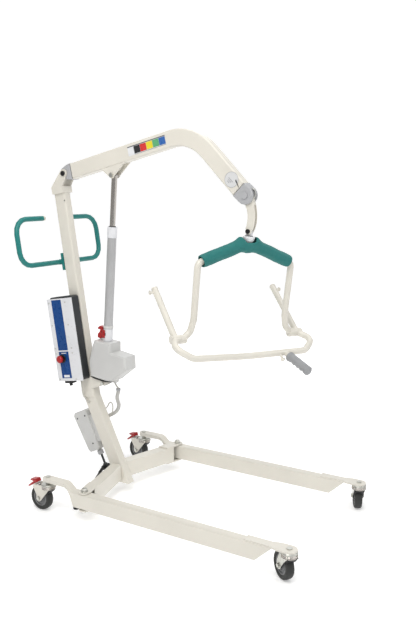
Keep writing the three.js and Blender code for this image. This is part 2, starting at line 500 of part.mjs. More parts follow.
const boomAt = (x, side) => {
  const d = (x - BOOM.kneeX) / up[0];
  return [BOOM.kneeX + up[0] * d - up[1] * side, BOOM.kneeZ + up[1] * d + up[0] * side];
};
{
  const h = BOOM.depth / 2;
  const tube = cut(sideSlab(boomOutline(h, -286), -TUBE_W / 2, TUBE_W / 2, 4, 9),
    sideSlab(boomOutline(h - 3, -300, -20), -TUBE_W / 2 + 3, TUBE_W / 2 - 3, 0, 9));
  const [ex, ez] = JACK.high;
  const bracket = new THREE.Shape();
  bracket.moveTo(...boomAt(-134, -h + 2)).lineTo(ex - 13, ez - 6).absarc(ex, ez, 13, Math.PI * 1.15, -0.2);
  bracket.lineTo(...boomAt(-14, -h + 2));
  const plates = [-1, 1].map((s) => sideSlab(bracket, s > 0 ? 15 : -20, s > 0 ? 20 : -15));
  add(hoist, 'boom', cut(join(tube, ...plates), barY(ex, ez, -30, 30, 6.4)), cream);
  for (const [name, s] of [['bolt', -1], ['nut', 1]]) {
    add(hoist, `actuator_top_${name}`, join(barY(ex, ez, s * 15.5, s * 24, 6),
      barY(ex, ez, s * (20 + GAP), s * 26, 9.5, 6)), zinc);
  }
  // rear end cover, turning on the mast's pivot bolt
  const { x: px, z: pz } = BOOM_PIVOT;
  const cover = new THREE.Shape();
  cover.moveTo(...boomAt(-286 - GAP, h + 1)).lineTo(...boomAt(-305, h - 2));
  cover.absarc(px, pz, 24, Math.PI * 0.62, Math.PI * 1.28);
  cover.lineTo(...boomAt(-300, -h + 1)).lineTo(...boomAt(-286 - GAP, -h - 1));
  add(hoist, 'boom_rear_cover', cut(sideSlab(cover, -22.5, 22.5, 2), barY(px, pz, -40, 40, 7.3)), midGrey);
  // front end cap, forked underneath round the hanger
  const c = [HANGER.topX, HANGER.topZ], a = Math.atan2(down[1], down[0]);
  const s = new THREE.Shape();
  const rim = (side) => [BOOM.endX + down[0] * GAP - down[1] * side,
    BOOM.kneeZ + down[1] * (((BOOM.endX - BOOM.kneeX) / down[0]) + GAP) + down[0] * side];
  s.moveTo(...rim(h + 1)).lineTo(c[0] - down[1] * (h + 1), c[1] + down[0] * (h + 1));
  s.absarc(c[0], c[1], h + 1, a + Math.PI / 2, a - Math.PI / 2, true);
  s.lineTo(...rim(-h - 1));
  const cap = sideSlab(s, -TUBE_W / 2 - 1.5, TUBE_W / 2 + 1.5, 3);
  const slot = sideSlab(outline([[c[0] - 20, c[1] + 2], [c[0] - 8, c[1] + 19], [c[0] + 60, c[1] + 22],
    [c[0] + 60, c[1] - 60], [c[0] - 20, c[1] - 60]]), -12.5, 12.5);
  const bosses = barY(...c, -TUBE_W / 2 - 5, TUBE_W / 2 + 5, 13, 28);
  add(hoist, 'boom_end_cap', cut(join(cap, bosses), slot, barY(...c, -16, 16, 6)), midGrey);
  add(hoist, 'hanger_pin', barY(...c, -15.5, 15.5, 5.7), zinc);
}

// ---------------------------------------------------------------- hanger link
{
  const { topX, topZ, boltX, boltZ } = HANGER;
  const s = new THREE.Shape();
  s.moveTo(topX - 15, topZ).quadraticCurveTo(topX - 7, topZ - 24, topX + 3, topZ - 50);
  s.quadraticCurveTo(topX + 12, topZ - 84, boltX - 12, boltZ + 8);
  s.absarc(boltX, boltZ, 12.5, Math.PI * 0.8, -0.5);
  s.quadraticCurveTo(boltX + 31, boltZ + 24, boltX + 26, boltZ + 70);
  s.quadraticCurveTo(boltX + 22, boltZ + 112, topX + 12, topZ + 12);
  s.absarc(topX, topZ, 15, 0.75, Math.PI, false);
  const blade = sideSlab(s, -11, 11, 2);
  const fork = box(boltX - 40, boltX + 60, -6.6, 6.6, boltZ - 40, topZ - 34);
  const bores = [barY(topX, topZ, -30, 30, 6), barY(boltX, boltZ, -30, 30, 6.3)];
  add(hoist, 'hanger_link', cut(blade, fork, ...bores), cream);
  add(hoist, 'hanger_bolt', join(barY(boltX, boltZ, -13, 13, 6), barY(boltX, boltZ, -16, -11 - GAP, 8.5),
    barY(boltX, boltZ, 11 + GAP, 16, 8.5)), blackPlastic);
}

// ---------------------------------------------------------------- swivel, yoke and cradle
const tilted = new THREE.Group();
tilted.position.set(HANGER.boltX, 0, HANGER.boltZ);
tilted.rotation.y = rad(CRADLE.tilt);
hoist.add(tilted);
const turned = new THREE.Group();
turned.rotation.z = rad(CRADLE.yaw);
tilted.add(turned);
// in the turned frame +X is the cradle's front, +Y runs along its pivots
{
  const collar = lathe([[0, -40], [13, -40], [19, -33], [22.5, -24], [22.5, -19], [21, -17], [0, -17]]);
  const tongue = sideSlab(outline([[-11, -18], [11, -18], [11, 2], [6, 11], [-6, 11], [-11, 2]]), -6.2, 6.2);
  const stem = join(collar, tongue, barZ(0, 0, -72, -38, 7), barZ(0, 0, -78, -70.4, 10, 6));
  add(tilted, 'swivel_block', cut(stem, barY(0, 0, -20, 20, 6.3)), white);
}
const R = CRADLE.tubeR, U = CRADLE.pivotU, W = CRADLE.pivotW;
const crown = -52;
const fall = (u) => crown - 3 - ((u - 40) * (crown - 3 + 114)) / (201 - 40);
const yokePath = [[0, -U + 16, W], [0, -U + 44, W + 26], [0, -198, W + 70], [0, -201, -114],
  [0, -40, crown - 3], [0, 40, crown - 3], [0, 201, -114], [0, 198, W + 70], [0, U - 44, W + 26],
  [0, U - 16, W]];
const yokeRadii = [30, 60, 24, 60, 60, 24, 60, 30];
{
  const bow = bentTube(yokePath, yokeRadii, R, 12, 3);
  const hubs = [-1, 1].map((s) => bar([0, s * (U - 26), W], [0, s * (U - 4), W], 16, 20));
  const block = barZ(0, 0, crown - 18, -40 - GAP, 15, 16);
  const bores = [barZ(0, 0, -90, 0, 7.3), ...[-1, 1].map((s) => barY(0, W, s * (U - 22), s * 300, 6.3))];
  add(turned, 'yoke', cut(join(bow, ...hubs, block), ...bores), cream);
  const half = [[0, -184, fall(184)], [0, -40, crown - 3], [0, 40, crown - 3], [0, 184, fall(184)]];
  const pad = bentTube(half, [60, 60], 25, 12, 3);
  const core = [[0, -230, fall(230)], ...half.slice(1, 3), [0, 230, fall(230)]];
  const inside = bentTube(core, [60, 60], R + 0.6, 12, 3);
  add(turned, 'yoke_pad', cut(pad, inside, barZ(0, 0, crown, 20, 23), barZ(0, 0, -100, crown, 16)), tealFabric);
}
{
  const c = U + 13;
  const half = [[-192, c, -244], [0, c, W], [58, 299, -400], [96, 241, -431]];
  const mirror = half.map(([x, y, z]) => [x, -y, z]).reverse();
  const path = [...half, [62, 0, -448], ...mirror];
  const bow = bentTube(path, [60, 34, 34, 160, 34, 34, 60], R, 12, 3);
  const pieces = [bow];
  for (const s of [-1, 1]) {
    pieces.push(bar([0, s * (U - 4 + 2 * GAP), W], [0, s * (c + 14), W], 16, 20));
    const stud = [-176, -256];
    pieces.push(bar([stud[0], s * c, stud[1]], [stud[0], s * (c + 24), stud[1]], 4.5, 10),
      bar([stud[0], s * (c + 22), stud[1]], [stud[0], s * (c + 27), stud[1]], 8.5, 12));
  }
  // handle stub on the front bar, with a strap stud each side of it
  const root = V(84, 156, -437), aim = V(0.94, 0.05, -0.2).normalize();
  const on = (d, dy = 0, dz = 0) => [root.x + aim.x * d, root.y + aim.y * d + dy, root.z + aim.z * d + dz];
  pieces.push(bar(on(0), on(120), 10.5, 14));
  for (const s of [-1, 1]) {
    pieces.push(bar(on(-2, s * 24), on(22, s * 24, -14), 4.5, 10),
      bar(on(21, s * 24, -13.4), on(26, s * 24, -16.3), 8.5, 12));
  }
  add(turned, 'cradle', cut(join(...pieces), ...[-1, 1].flatMap((s) =>
    [barY(0, W, s * 200, s * 300, 6.3), barY(0, W, s * (c + 14), s * (c + 40), 15.6, 20)])), cream);
  const sleeve = cut(bar(on(32), on(146), 15.5, 18, 14.5), bar(on(20), on(124), 10.8, 14));
  add(turned, 'cradle_grip', sleeve, gripGrey);
  for (const [name, s] of SIDES) {
    const y = (v) => s * v;
    add(turned, `cradle_pivot_bolt_${name}`, join(bar([0, y(U - 21), W], [0, y(c + 19), W], 6),
      bar([0, y(c + 14.3), W], [0, y(c + 19), W], 15, 20)), cream);
  }
}

// ---------------------------------------------------------------- origin at the middle of the floor area
hoist.updateMatrixWorld(true);
const extent = new THREE.Box3().setFromObject(hoist, true);
hoist.position.set(-(extent.min.x + extent.max.x) / 2, -(extent.min.y + extent.max.y) / 2, -extent.min.z);
const group = new THREE.Group();
group.add(hoist);
export default group;
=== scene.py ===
"""Looks of a mobile patient lifting hoist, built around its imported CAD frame."""
import json
import math

import bpy
from mathutils import Matrix, Vector, noise as fractal


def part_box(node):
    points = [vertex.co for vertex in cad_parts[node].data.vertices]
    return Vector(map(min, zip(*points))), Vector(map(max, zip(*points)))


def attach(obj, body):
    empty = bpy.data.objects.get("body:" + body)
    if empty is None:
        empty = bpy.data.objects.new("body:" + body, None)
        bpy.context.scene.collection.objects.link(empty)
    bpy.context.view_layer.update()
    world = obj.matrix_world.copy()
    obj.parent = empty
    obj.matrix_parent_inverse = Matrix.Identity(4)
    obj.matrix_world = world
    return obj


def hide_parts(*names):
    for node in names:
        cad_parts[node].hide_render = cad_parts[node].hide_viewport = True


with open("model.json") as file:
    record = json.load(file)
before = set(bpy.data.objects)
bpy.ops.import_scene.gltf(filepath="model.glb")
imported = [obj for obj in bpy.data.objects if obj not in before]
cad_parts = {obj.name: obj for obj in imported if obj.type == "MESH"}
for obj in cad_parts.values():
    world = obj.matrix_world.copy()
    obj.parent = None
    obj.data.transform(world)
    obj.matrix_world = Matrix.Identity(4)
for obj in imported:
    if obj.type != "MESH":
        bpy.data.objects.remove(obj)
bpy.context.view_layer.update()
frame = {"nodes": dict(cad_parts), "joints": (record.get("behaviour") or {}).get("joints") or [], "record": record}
joints = {j["name"]: j for j in frame["joints"]}
nodes = frame["nodes"]

# ---------------------------------------------------------------- places read from the frame
X, Y, Z = Vector((1, 0, 0)), Vector((0, 1, 0)), Vector((0, 0, 1))
CASTERS = ("front_near", "front_far", "rear_near", "rear_far")


def spot(joint):
    return Vector(joints[joint]["pos_m"])


def along(joint):
    return Vector(joints[joint]["axis"])


def frame_at(origin, up, forward):
    """Matrix whose Z runs along up and whose X lies as near forward as it can."""
    z = up.normalized()
    y = z.cross(forward).normalized()
    return Matrix.Translation(origin) @ Matrix((y.cross(z), y, z)).transposed().to_4x4()


def tilted_up(degrees):
    """Upward direction leaning back, towards -X, by that angle."""
    return Vector((-math.sin(math.radians(degrees)), 0, math.cos(math.radians(degrees))))


near_pivot, far_pivot = (sum(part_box(f"leg_pivot_bolt_{s}"), Vector()) / 2 for s in ("near", "far"))
HUB = Vector((near_pivot.x, (near_pivot.y + far_pivot.y) / 2, 0))     # floor point between the leg pivots
MAST_LEAN, COLUMN_LEAN, BOOM_RISE, BOOM_FALL = 8.7, 25.5, 13.2, 45.4  # degrees
MAST_FOOT_FROM_JACK = Vector((-0.0827, 0, -0.056))
COLUMN_FOOT_FROM_HUB = Vector((-0.054, 0, 0.040))
KNEE_FROM_PIVOT = Vector((0.613, 0, 0.144))
WORLD = Matrix.Translation(HUB)
JACK = frame_at(spot("actuator_tilt"), along("actuator_stroke"), X)
MAST = frame_at(spot("actuator_tilt") + MAST_FOOT_FROM_JACK, tilted_up(MAST_LEAN), X)
COLUMN = frame_at(HUB + COLUMN_FOOT_FROM_HUB, tilted_up(COLUMN_LEAN), X)
KNEE = spot("boom_lift") + KNEE_FROM_PIVOT
BOOM_BACK = frame_at(KNEE, tilted_up(BOOM_RISE), X)
BOOM_FRONT = frame_at(KNEE, tilted_up(-BOOM_FALL), X)
CRADLE = frame_at(spot("swivel_block_swing"), along("yoke_swivel"),
                  along("cradle_tilt").cross(along("yoke_swivel")))
FORK = {c: frame_at(spot(f"caster_swivel_{c}") * Vector((1, 1, 0)), Z, along(f"wheel_roll_{c}").cross(Z))
        for c in CASTERS}
WHEEL = {c: frame_at(spot(f"wheel_roll_{c}"), along(f"wheel_roll_{c}"), X) for c in CASTERS}

# ---------------------------------------------------------------- camera, light and floor
CAMERA_FROM_HUB = Vector((1.7966, -2.3486, 1.2736))
CAMERA_AZIMUTH, CAMERA_PITCH, LENS = 31.5, -9.8, 42.64
STUDIO_MIDDLE = HUB + Vector((0.2, 0, 0.7))
WORLD_GLOW = 0.42
NEAR_GLOW, FAR_GLOW = 0.30, 0.52      # light given off by the paper under the hoist and behind it
SHEET_FRONT, SHEET_NEAR_EDGE, SHEET_DEPTH, SHEET_RISE, SHEET_SIDE = -6.0, 1.6, 5.0, 7.0, 12
SHEET_STEPS = 16


def build_camera():
    data = bpy.data.cameras.new("camera")
    data.lens, data.sensor_width, data.sensor_height = LENS, 36.0, 36.0
    data.clip_start, data.clip_end = 0.05, 60
    camera = bpy.data.objects.new("camera", data)
    camera.location = HUB + CAMERA_FROM_HUB
    camera.rotation_euler = (math.radians(90 + CAMERA_PITCH), 0, math.radians(CAMERA_AZIMUTH))
    bpy.context.scene.collection.objects.link(camera)
    bpy.context.scene.camera = camera


def area_light(name, offset, size, power, colour=(1, 1, 1)):
    data = bpy.data.lights.new(name, "AREA")
    data.shape, data.size, data.energy, data.color = "SQUARE", size, power, colour
    lamp = bpy.data.objects.new(name, data)
    lamp.location = STUDIO_MIDDLE + Vector(offset)
    lamp.rotation_euler = (-Vector(offset)).to_track_quat("-Z", "Y").to_euler()
    bpy.context.scene.collection.objects.link(lamp)


def build_studio():
    area_light("key_light", (0.5, -2.0, 2.3), 1.8, 52, (1, 0.985, 0.96))
    area_light("top_light", (0.3, 0.2, 3.2), 2.6, 34)
    area_light("side_light", (3.0, 0.6, 1.6), 2.4, 22)
    area_light("rim_light", (-1.5, 3.0, 2.6), 2.4, 16, (0.97, 0.98, 1))
    world = bpy.data.worlds.new("studio")
    world.use_nodes = True
    background = world.node_tree.nodes["Background"]
    background.inputs["Color"].default_value = (1, 1, 1, 1)
    background.inputs["Strength"].default_value = WORLD_GLOW
    bpy.context.scene.world = world
    bpy.context.scene.view_settings.view_transform = "Standard"
    # one pale sheet that lies flat under the hoist and curves up far behind it
    profile = [(SHEET_FRONT, 0.0), (SHEET_NEAR_EDGE, 0.0), (SHEET_DEPTH, 0.0)]
    profile += [(SHEET_DEPTH + SHEET_RISE * math.sin(a), SHEET_RISE * (1 - math.cos(a)))
                for a in (math.pi / 2 * k / SHEET_STEPS for k in range(1, SHEET_STEPS + 1))]
    turn = Matrix.Rotation(math.radians(CAMERA_AZIMUTH), 4, "Z")
    verts = [WORLD @ turn @ Vector((x, y, z)) for y, z in profile for x in (-SHEET_SIDE, SHEET_SIDE)]
    faces = [(2 * k, 2 * k + 1, 2 * k + 3, 2 * k + 2) for k in range(len(profile) - 1)]
    mesh = bpy.data.meshes.new("backdrop")
    mesh.from_pydata(verts, [], faces)
    mesh.shade_smooth()
    for look, glow in (("near_paper", NEAR_GLOW), ("far_paper", FAR_GLOW)):
        mesh.materials.append(backdrop_paper(look, glow))
    for face, (y, _) in zip(mesh.polygons, profile):
        face.material_index = int(y >= SHEET_NEAR_EDGE)
    backdrop = bpy.data.objects.new("backdrop", mesh)
    bpy.context.scene.collection.objects.link(backdrop)


# ---------------------------------------------------------------- materials
def shader(name):
    material = bpy.data.materials.new(name)
    material.use_nodes = True
    return material, material.node_tree, material.node_tree.nodes["Principled BSDF"]


def backdrop_paper(name, glow):
    material, tree, bsdf = shader(name)
    bsdf.inputs["Base Color"].default_value = (0.95, 0.95, 0.95, 1)
    bsdf.inputs["Roughness"].default_value = 0.95
    bsdf.inputs["Emission Color"].default_value = (1, 1, 1, 1)
    bsdf.inputs["Emission Strength"].default_value = glow
    return material


def noise(tree, scale, detail=3.0, stretch=None):
    """Noise over the row frame's own coordinates, stretched along an axis if asked."""
    place = tree.nodes.new("ShaderNodeTexCoord").outputs["Object"]
    if stretch:
        mapping = tree.nodes.new("ShaderNodeMapping")
        mapping.inputs["Scale"].default_value = stretch
        tree.links.new(place, mapping.inputs["Vector"])
        place = mapping.outputs["Vector"]
    node = tree.nodes.new("ShaderNodeTexNoise")
    node.inputs["Scale"].default_value = scale
    node.inputs["Detail"].default_value = detail
    tree.links.new(place, node.inputs["Vector"])
    return node.outputs["Fac"]


def remap(tree, value, low, high, start=0.3, end=0.7):
    node = tree.nodes.new("ShaderNodeMapRange")
    node.inputs["From Min"].default_value, node.inputs["From Max"].default_value = start, end
    node.inputs["To Min"].default_value, node.inputs["To Max"].default_value = low, high
    tree.links.new(value, node.inputs["Value"])
    return node.outputs["Result"]


def mix_colour(tree, factor, first, second):
    node = tree.nodes.new("ShaderNodeMix")
    node.data_type = "RGBA"
    for socket, value in ((node.inputs[6], first), (node.inputs[7], second)):
        if isinstance(value, tuple):
            socket.default_value = (*value, 1)
        else:
            tree.links.new(value, socket)
    tree.links.new(factor, node.inputs[0])
    return node.outputs[2]


def rounded_normal(tree, radius):
    node = tree.nodes.new("ShaderNodeBevel")
    node.inputs["Radius"].default_value = radius
    node.samples = 4
    return node.outputs["Normal"]


def edge_mask(tree, radius):
    """Near 1 on edges within radius, 0 on flats."""
    dot = tree.nodes.new("ShaderNodeVectorMath")
    dot.operation = "DOT_PRODUCT"
    tree.links.new(rounded_normal(tree, radius), dot.inputs[0])
    tree.links.new(tree.nodes.new("ShaderNodeNewGeometry").outputs["Normal"], dot.inputs[1])
    return remap(tree, dot.outputs["Value"], 1.0, 0.0, 0.86, 0.995)


def weave(tree):
    """Fine crossed threads, as height."""
    place = tree.nodes.new("ShaderNodeTexCoord").outputs["Object"]
    waves = []
    for axis in ("X", "Z"):
        node = tree.nodes.new("ShaderNodeTexWave")
        node.wave_type, node.bands_direction = "BANDS", axis
        node.inputs["Scale"].default_value = 190
        node.inputs["Distortion"].default_value = 0.6
        tree.links.new(place, node.inputs["Vector"])
        waves.append(node.outputs["Fac"])
    top = tree.nodes.new("ShaderNodeMath")
    top.operation = "MAXIMUM"
    tree.links.new(waves[0], top.inputs[0])
    tree.links.new(waves[1], top.inputs[1])
    return top.outputs[0]


BROAD_SCALE, GRAIN_DEPTH = 9.0, 0.0006


def surface(name, colour, roughness, metallic=0.0, mottle=0.04, grain=420.0, bump=0.08, edge=None,
            round_edges=0.0012, stretch=None, sheen=0.0, coat=0.0, specular=0.5, woven=False):
    """Base finish with broad soft colour change, fine grain in bump and roughness, and paler worn edges."""
    material, tree, bsdf = shader(name)
    broad = remap(tree, noise(tree, BROAD_SCALE, 2.0), 0.0, 1.0)
    darker, lighter = (tuple(min(1.0, c * k) for c in colour) for k in (1 - mottle, 1 + mottle))
    shade = mix_colour(tree, broad, darker, lighter)
    if edge:
        shade = mix_colour(tree, edge_mask(tree, round_edges * 1.5), shade, edge)
    tree.links.new(shade, bsdf.inputs["Base Color"])
    fine = weave(tree) if woven else noise(tree, grain, 4.0, stretch)
    rough = remap(tree, noise(tree, grain / 6, 4.0), roughness * 0.86, min(1.0, roughness * 1.16))
    tree.links.new(rough, bsdf.inputs["Roughness"])
    bsdf.inputs["Metallic"].default_value = metallic
    bsdf.inputs["Sheen Weight"].default_value = sheen
    bsdf.inputs["Coat Weight"].default_value = coat
    bsdf.inputs["Coat Roughness"].default_value = 0.15
    bsdf.inputs["Specular IOR Level"].default_value = specular
    height = tree.nodes.new("ShaderNodeBump")
    height.inputs["Strength"].default_value = bump
    height.inputs["Distance"].default_value = GRAIN_DEPTH
    tree.links.new(fine, height.inputs["Height"])
    if round_edges:
        tree.links.new(rounded_normal(tree, round_edges), height.inputs["Normal"])
    tree.links.new(height.outputs["Normal"], bsdf.inputs["Normal"])
    return material


CREAM, TEAL = (0.69, 0.662, 0.592), (0.014, 0.185, 0.172)
FINISHES = {
    "cream_paint": dict(colour=CREAM, roughness=0.36, mottle=0.02, edge=(0.76, 0.73, 0.66), coat=0.2),
    "teal_paint": dict(colour=TEAL, roughness=0.38, edge=(0.024, 0.24, 0.225), specular=0.3, coat=0.15),
    "teal_sleeve": dict(colour=(0.020, 0.170, 0.160), roughness=0.8, bump=0.6, sheen=0.12, specular=0.3,
                        woven=True, round_edges=0.0),
    "chrome": dict(colour=(0.50, 0.47, 0.44), roughness=0.16, metallic=1.0, mottle=0.03, bump=0.02),
    "zinc": dict(colour=(0.58, 0.58, 0.54), roughness=0.30, metallic=1.0, mottle=0.1, grain=260, bump=0.05),
    "anodised_tube": dict(colour=(0.46, 0.462, 0.468), roughness=0.4, metallic=0.5, stretch=(9, 9, 0.3),
                          bump=0.05),
    "tyre": dict(colour=(0.034, 0.035, 0.034), roughness=0.6, bump=0.14, specular=0.3),
    "black_plastic": dict(colour=(0.010, 0.010, 0.011), roughness=0.42, bump=0.12, specular=0.3),
    "dark_grey_plastic": dict(colour=(0.022, 0.025, 0.028), roughness=0.4, bump=0.14,
                              edge=(0.05, 0.055, 0.06)),
    "mid_grey_plastic": dict(colour=(0.40, 0.405, 0.42), roughness=0.46, bump=0.14),
    "pale_grey_plastic": dict(colour=(0.57, 0.57, 0.56), roughness=0.44, bump=0.16, round_edges=0.004,
                              edge=(0.62, 0.62, 0.61)),
    "white_plastic": dict(colour=(0.69, 0.697, 0.72), roughness=0.3, bump=0.05),
    "red_plastic": dict(colour=(0.38, 0.010, 0.012), roughness=0.3, bump=0.05, specular=0.3, coat=0.15),
    "grip_rubber": dict(colour=(0.31, 0.315, 0.325), roughness=0.62, bump=0.22, specular=0.3),
    "board_green": dict(colour=(0.02, 0.12, 0.06), roughness=0.4),
    "cable_sheath": dict(colour=(0.52, 0.51, 0.47), roughness=0.5, bump=0.1),
    # finishes of the small details that the CAD parts don't carry
    "hub_grey": dict(colour=(0.17, 0.172, 0.178), roughness=0.5, bump=0.1),
    "panel_blue": dict(colour=(0.004, 0.052, 0.210), roughness=0.28, bump=0.03, mottle=0.08, specular=0.2),
    "sleeve_grey": dict(colour=(0.50, 0.495, 0.475), roughness=0.5, bump=0.1),
    "gasket_grey": dict(colour=(0.06, 0.06, 0.062), roughness=0.6, bump=0.1),
    "print_white": dict(colour=(0.74, 0.75, 0.77), roughness=0.3, bump=0.02),
    "print_black": dict(colour=(0.02, 0.02, 0.022), roughness=0.3, bump=0.02),
    "print_grey": dict(colour=(0.12, 0.125, 0.13), roughness=0.3, bump=0.02),
    "print_red": dict(colour=(0.60, 0.03, 0.03), roughness=0.3, bump=0.02),
    "print_yellow": dict(colour=(0.72, 0.60, 0.03), roughness=0.3, bump=0.02),
    "print_green": dict(colour=(0.10, 0.36, 0.16), roughness=0.3, bump=0.02),
    "print_blue": dict(colour=(0.03, 0.12, 0.38), roughness=0.3, bump=0.02),
    "sticker_pale": dict(colour=(0.63, 0.635, 0.64), roughness=0.3, bump=0.02),
}
finishes = {}
SHARP_ANGLE = math.radians(38)


def finish(name):
    if name not in finishes:
        finishes[name] = surface(name, **FINISHES[name])
    return finishes[name]


def dress_nodes():
    """Gives every carried-over CAD node its finish, and shades its round faces smooth."""
    for entry in frame["record"]["subparts"]:
        node = nodes[entry["node"]]
        for holder in node.material_slots:
            holder.material = finish(entry["material_slot"])
        smooth_shade(node)


def smooth_shade(obj):
    if "custom_normal" in obj.data.attributes:
        obj.data.attributes.remove(obj.data.attributes["custom_normal"])
    obj.data.shade_smooth()
    weld = obj.modifiers.new("weld", "WELD")
    weld.merge_threshold = 1e-5
    split_sharp_edges(obj)


def split_sharp_edges(obj):
    split = obj.modifiers.new("split", "EDGE_SPLIT")
    split.split_angle = SHARP_ANGLE


# ---------------------------------------------------------------- shapes of the added pieces
def piece(name, place, verts, faces, body, look, slot, bevel=0.0):
    """A mesh piece in the row frame from points in the frame `place`, riding on a body."""
    mesh = bpy.data.meshes.new(name)
    mesh.from_pydata([place @ Vector(v) for v in verts], [], faces)
    mesh.validate()
    mesh.shade_smooth()
    mesh.materials.append(finish(look))
    obj = bpy.data.objects.new(name, mesh)
    bpy.context.scene.collection.objects.link(obj)
    if bevel:
        edges = obj.modifiers.new("bevel", "BEVEL")
        edges.width, edges.segments, edges.limit_method = bevel, 2, "ANGLE"
    split_sharp_edges(obj)
    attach(obj, body)
    return obj


def prism(outline, low, high):
    """Points and faces of an outline in X and Y raised from low to high along Z."""
    n = len(outline)
    verts = [(x, y, z) for z in (low, high) for x, y in outline]
    sides = [(k, (k + 1) % n, n + (k + 1) % n, n + k) for k in range(n)]
    return verts, sides + [tuple(reversed(range(n))), tuple(range(n, 2 * n))]


def side_prism(outline, near, far):
    """The same from an outline in X and Z, spanning near to far along Y."""
    verts, faces = prism(outline, near, far)
    return [(x, y, z) for x, z, y in verts], [tuple(reversed(f)) for f in faces]


def rectangle(x0, x1, y0, y1):
    return [(x0, y0), (x1, y0), (x1, y1), (x0, y1)]


def round_outline(radius, sides, centre=(0, 0)):
    return [(centre[0] + radius * math.cos(2 * math.pi * k / sides),
             centre[1] + radius * math.sin(2 * math.pi * k / sides)) for k in range(sides)]


def turned(profile, sides=40, sweep=360):
    """Points and faces of a closed (radius, height) profile turned about Z, centred on +X if it's an arc."""
    n, rings = len(profile), sides if sweep == 360 else sides + 1
    verts, faces = [], []
    for k in range(rings):
        a = math.radians(sweep) * (k / sides - 0.5)
        verts += [(r * math.cos(a), r * math.sin(a), z) for r, z in profile]
    for k in range(sides):
        a, b = k * n, (k + 1) % rings * n
        faces += [(a + i, b + i, b + (i + 1) % n, a + (i + 1) % n) for i in range(n)]
    if rings > sides:
        faces += [tuple(range(n)), tuple(reversed(range(sides * n, rings * n)))]
    return verts, faces


def merged(*shapes):
    """Several (points, faces) pairs as one."""
    verts, faces = [], []
    for v, f in shapes:
        start = len(verts)
        verts += v
        faces += [tuple(i + start for i in face) for face in f]
    return verts, faces


def moved(shape, matrix):
    return [tuple(matrix @ Vector(v)) for v in shape[0]], shape[1]


def hexagon(radius, low, high):
    return prism(round_outline(radius, 6), low, high)


def swept(points, radius, sides=24):
    """A closed tube along points. radius is a number or a function of (step share, angle)."""
    verts, faces, last = [], [], len(points) - 1
    normal = None
    for k, p in enumerate(points):
        tangent = (points[min(k + 1, last)] - points[max(k - 1, 0)]).normalized()
        normal = (Z if normal is None and abs(tangent.z) < 0.9 else normal or X)
        normal = (normal - tangent * normal.dot(tangent)).normalized()
        other = tangent.cross(normal)
        for j in range(sides):
            a = 2 * math.pi * j / sides
            r = radius(k / last, a) if callable(radius) else radius
            verts.append(tuple(p + (normal * math.cos(a) + other * math.sin(a)) * r))
    for k in range(last):
        for j in range(sides):
            a, b = k * sides + j, k * sides + (j + 1) % sides
            faces.append((a, b, b + sides, a + sides))
    return verts, faces + [tuple(reversed(range(sides))), tuple(range(last * sides, (last + 1) * sides))]


def smooth_route(points, per_span=6):
    """Catmull-Rom curve through the points, with centripetal spacing."""
    pts = [Vector(p) for p in points]
    ends = [pts[0] * 2 - pts[1]] + pts + [pts[-1] * 2 - pts[-2]]
    out = []
    for p0, p1, p2, p3 in zip(ends, ends[1:], ends[2:], ends[3:]):
        t1 = (p1 - p0).length ** 0.5
        t2 = t1 + (p2 - p1).length ** 0.5
        t3 = t2 + (p3 - p2).length ** 0.5
        for k in range(per_span):
            t = t1 + (t2 - t1) * k / per_span
            a1 = p0 * ((t1 - t) / t1) + p1 * (t / t1)
            a2 = p1 * ((t2 - t) / (t2 - t1)) + p2 * ((t - t1) / (t2 - t1))
            a3 = p2 * ((t3 - t) / (t3 - t2)) + p3 * ((t - t2) / (t3 - t2))
            b1 = a1 * ((t2 - t) / t2) + a2 * (t / t2)
            b2 = a2 * ((t3 - t) / (t3 - t1)) + a3 * ((t - t1) / (t3 - t1))
            out.append(b1 * ((t2 - t) / (t2 - t1)) + b2 * ((t - t1) / (t2 - t1)))
    return out + [pts[-1]]


# ---------------------------------------------------------------- cables, first of all the pieces
MOTOR_ROUTE = [
    (-.1003, .005, .4656), (-.0995, .005, .458), (-.095, .0053, .451), (-.089, .006, .444),
    (-.086, .0075, .436), (-.0875, .0093, .427), (-.092, .0115, .414), (-.097, .013, .401),
    (-.099, .015, .390), (-.098, .018, .3785), (-.097, .0215, .367), (-.099, .025, .356),
    (-.1045, .0285, .345), (-.112, .0315, .3345), (-.122, .034, .3245), (-.134, .036, .3155),
    (-.147, .0365, .308), (-.159, .0355, .302), (-.170, .032, .2975), (-.180, .0275, .2945),
    (-.189, .0245, .292),
]
DRIVE_ROUTE = [
    (-.196, .0234, .322), (-.188, .0236, .324), (-.179, .024, .328), (-.170, .0245, .3335),
    (-.162, .0245, .341), (-.156, .0245, .350), (-.1505, .0245, .359), (-.1435, .0245, .3645),
    (-.136, .0245, .362), (-.132, .0245, .354), (-.131, .0245, .343), (-.1325, .0245, .331),
    (-.136, .0245, .319), (-.142, .0245, .308), (-.1505, .0245, .2985), (-.161, .0242, .291),
    (-.172, .024, .286), (-.183, .0234, .2825),
]
BOX_ROUTE = [
    (-.2405, -.048, .4684), (-.2393, -.048, .461), (-.2386, -.0475, .453), (-.2385, -.0465, .445),
    (-.2388, -.045, .437), (-.2396, -.043, .429), (-.2406, -.0408, .421), (-.2416, -.0386, .413),
    (-.2422, -.0363, .4055), (-.242, -.0338, .398), (-.2408, -.0312, .391), (-.2388, -.0288, .385),
    (-.236, -.027, .3795), (-.2325, -.026, .3745), (-.228, -.0253, .370), (-.2225, -.0244, .3665),
]


COLUMN_SIDE = 0.0202          # just off the column's side face


def cable(name, route, diameter):
    path = [WORLD @ p for p in smooth_route(route)]
    obj = piece(f"{name}_run", Matrix(), *swept(path, diameter / 2, 12), "base", "cable_sheath",
                "cable_sheath")
    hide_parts(name)


